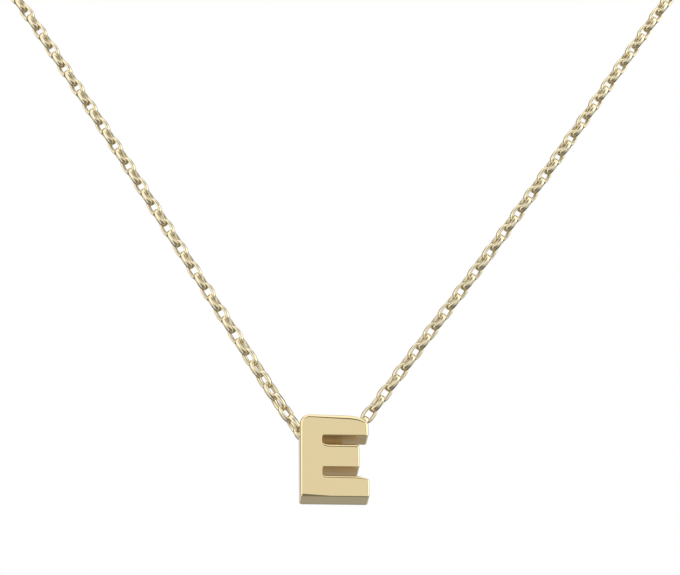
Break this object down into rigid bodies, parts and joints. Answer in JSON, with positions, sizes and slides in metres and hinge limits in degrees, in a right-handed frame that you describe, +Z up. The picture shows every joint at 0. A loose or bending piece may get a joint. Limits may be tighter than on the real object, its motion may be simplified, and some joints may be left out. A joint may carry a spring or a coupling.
{
  "type": "initial pendant on a chain",
  "caption": "Block letter pendant with a hidden tube bail, threaded on a fine closed cable chain that hangs from the nape of a neck.",
  "frame": {"origin": "middle of the clasp at the nape, where the chain sits on the neck", "axes": "+Z up, the letter's face towards -Y, +X to the right as seen from the front"},
  "size_m": [0.1247, 0.1046, 0.1324],
  "materials": {
    "letter_gold": "polished pale yellow gold",
    "chain_gold": "polished pale yellow gold wire",
    "clasp_gold": "polished pale yellow gold"
  },
  "bodies": {
    "chain": {"cable_chain": "chain_gold", "clasp": "clasp_gold"},
    "pendant": {"letter": "letter_gold"}
  },
  "joints": [
    {"name": "letter_swing", "type": "hinge", "parent": "chain", "child": "pendant", "pos_m": [-0.0025, -0.1, -0.122], "axis": [1, 0, 0], "range_deg": [-6, 150]}
  ]
}
